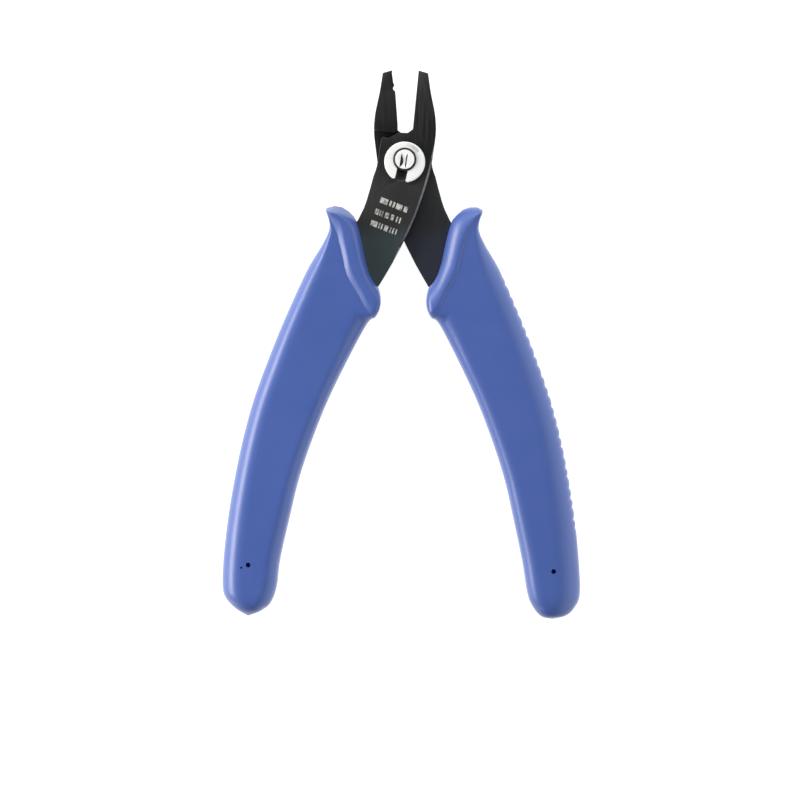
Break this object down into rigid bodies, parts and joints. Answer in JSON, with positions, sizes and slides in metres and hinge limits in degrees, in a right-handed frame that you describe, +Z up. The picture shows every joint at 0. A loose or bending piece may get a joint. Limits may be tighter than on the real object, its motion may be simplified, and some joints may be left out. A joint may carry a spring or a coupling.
{
  "type": "crimping pliers",
  "caption": "Small half-lapped crimping pliers with black steel jaws, a clipped pivot pin, a hidden wire return spring and collared blue vinyl grips.",
  "frame": {"origin": "middle of the tool's footprint, on the surface that it lies on", "axes": "+Y towards the jaws, +Z up out of the face with the retaining clip, +X to the right of a viewer looking down at that face"},
  "size_m": [0.0822, 0.1252, 0.0112],
  "materials": {
    "black_steel": "black oxide over ground steel",
    "bright_steel": "bright zinc plate",
    "spring_steel": "drawn wire",
    "blue_vinyl": "soft satin vinyl"
  },
  "bodies": {
    "rear_body": {"rear_half": "black_steel", "right_grip": "blue_vinyl", "pivot_pin": "bright_steel", "retaining_clip": "bright_steel", "return_spring": "spring_steel"},
    "front_body": {"front_half": "black_steel", "left_grip": "blue_vinyl"}
  },
  "joints": [
    {"name": "pliers_pivot", "type": "hinge", "parent": "rear_body", "child": "front_body", "pos_m": [0, 0.04202, 0.0056], "axis": [0, 0, 1], "range_deg": [-6, 16.4], "stiffness_Nm_per_rad": 1.2, "deforming": ["return_spring"]}
  ]
}
